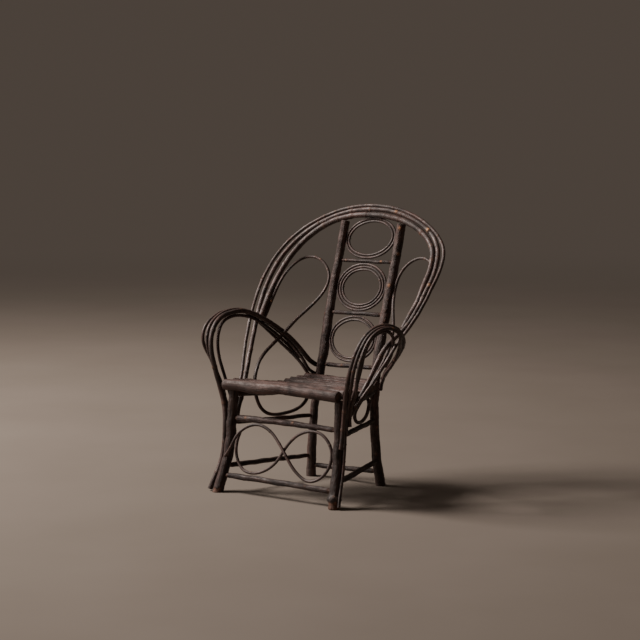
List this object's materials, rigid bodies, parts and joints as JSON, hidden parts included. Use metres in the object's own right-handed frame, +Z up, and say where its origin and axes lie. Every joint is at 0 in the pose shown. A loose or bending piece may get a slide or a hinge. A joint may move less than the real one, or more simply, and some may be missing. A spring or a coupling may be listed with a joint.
{
  "type": "rustic twig armchair",
  "caption": "Rustic armchair of bark-on saplings with a bent cane hoop back, bent cane arms, nested cane rings in the back and a slatted round-wood seat.",
  "frame": {"origin": "on the floor under the middle of the chair's outer box", "axes": "+Z up, -Y towards the front of the seat, +X towards the sitter's left hand (right side seen from the front)"},
  "size_m": [0.8238, 0.6922, 1.0691],
  "materials": {
    "sapling_bark": "weathered bark",
    "seat_bark": "weathered bark, worn smooth",
    "cane_bark": "weathered bark with knots",
    "nail_iron": "dark rusted"
  },
  "bodies": {
    "root": {"arm_left_cane_inner": "cane_bark", "arm_left_cane_middle": "cane_bark", "arm_left_cane_outer": "cane_bark", "arm_left_cane_under": "cane_bark", "arm_right_cane_inner": "cane_bark", "arm_right_cane_middle": "cane_bark", "arm_right_cane_outer": "cane_bark", "arm_right_cane_under": "cane_bark", "back_post_left": "sapling_bark", "back_post_right": "sapling_bark", "back_rail_lower": "sapling_bark", "back_rail_middle": "sapling_bark", "back_rail_upper": "sapling_bark", "back_ring_lower_inner": "cane_bark", "back_ring_lower_outer": "cane_bark", "back_ring_middle_inner": "cane_bark", "back_ring_middle_mid": "cane_bark", "back_ring_middle_outer": "cane_bark", "back_ring_upper_inner": "cane_bark", "back_ring_upper_outer": "cane_bark", "front_figure_eight": "cane_bark", "front_leg_left": "sapling_bark", "front_leg_right": "sapling_bark", "front_stretcher_lower": "sapling_bark", "front_stretcher_upper": "sapling_bark", "hoop_cane_inner": "cane_bark", "hoop_cane_middle": "cane_bark", "hoop_cane_outer": "cane_bark", "leg_cane_right": "cane_bark", "nails_arms": "nail_iron", "nails_back": "nail_iron", "nails_hoop": "nail_iron", "nails_lower": "nail_iron", "nails_seat": "nail_iron", "rear_stretcher": "sapling_bark", "seat_front_log": "seat_bark", "seat_rear_rail": "sapling_bark", "seat_side_rail_left": "sapling_bark", "seat_side_rail_right": "sapling_bark", "seat_slat_01": "seat_bark", "seat_slat_02": "seat_bark", "seat_slat_03": "seat_bark", "seat_slat_04": "seat_bark", "seat_slat_05": "seat_bark", "seat_slat_06": "seat_bark", "seat_slat_07": "seat_bark", "seat_slat_08": "seat_bark", "seat_slat_09": "seat_bark", "seat_slat_10": "seat_bark", "seat_slat_11": "seat_bark", "side_scroll_left": "cane_bark", "side_scroll_right": "cane_bark", "side_stretcher_lower_left": "sapling_bark", "side_stretcher_lower_right": "sapling_bark", "side_stretcher_upper_left": "sapling_bark", "side_stretcher_upper_right": "sapling_bark"}
  },
  "joints": []
}
